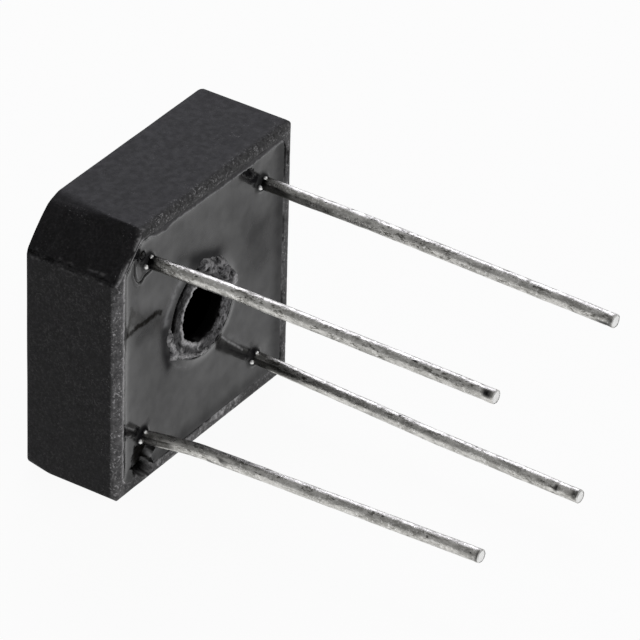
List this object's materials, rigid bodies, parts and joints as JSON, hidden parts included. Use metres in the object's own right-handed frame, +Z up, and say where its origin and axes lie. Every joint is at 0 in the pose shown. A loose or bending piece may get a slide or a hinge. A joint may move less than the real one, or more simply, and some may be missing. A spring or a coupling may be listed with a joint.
{
  "type": "bridge rectifier",
  "caption": "Square potted bridge rectifier with one cut corner, a screw hole through its middle and long round wire leads out of the resin face.",
  "frame": {"origin": "centre of the screw hole on the base face", "axes": "+Y out of the base face along the screw hole, so that the leads point to -Y; +Z up from the side wall that the case stands on; +X to the right for an eye that looks at the resin face, with the cut corner at -X and +Z"},
  "size_m": [0.0152, 0.0268, 0.0152],
  "materials": {
    "case_plastic": "fine-grained moulded black plastic",
    "resin": "glossy black cast resin with low ripples",
    "tinned_wire": "dull tin-coated copper wire, mottled",
    "copper": "plain stamped copper",
    "silicon": "dark grey polished silicon",
    "solder": "dull reflowed solder"
  },
  "bodies": {
    "root": {"case": "case_plastic", "potting": "resin", "lead_plus": "tinned_wire", "lead_minus": "tinned_wire", "lead_ac_1": "tinned_wire", "lead_ac_2": "tinned_wire", "plate_plus": "copper", "plate_minus": "copper", "plate_ac_1": "copper", "plate_ac_2": "copper", "solder_under_plus_ac_1": "solder", "die_plus_ac_1": "silicon", "solder_over_plus_ac_1": "solder", "solder_under_plus_ac_2": "solder", "die_plus_ac_2": "silicon", "solder_over_plus_ac_2": "solder", "solder_under_minus_ac_1": "solder", "die_minus_ac_1": "silicon", "solder_over_minus_ac_1": "solder", "solder_under_minus_ac_2": "solder", "die_minus_ac_2": "silicon", "solder_over_minus_ac_2": "solder", "solder_lead_plus": "solder", "solder_lead_minus": "solder", "solder_lead_ac_1": "solder", "solder_lead_ac_2": "solder"}
  },
  "joints": []
}
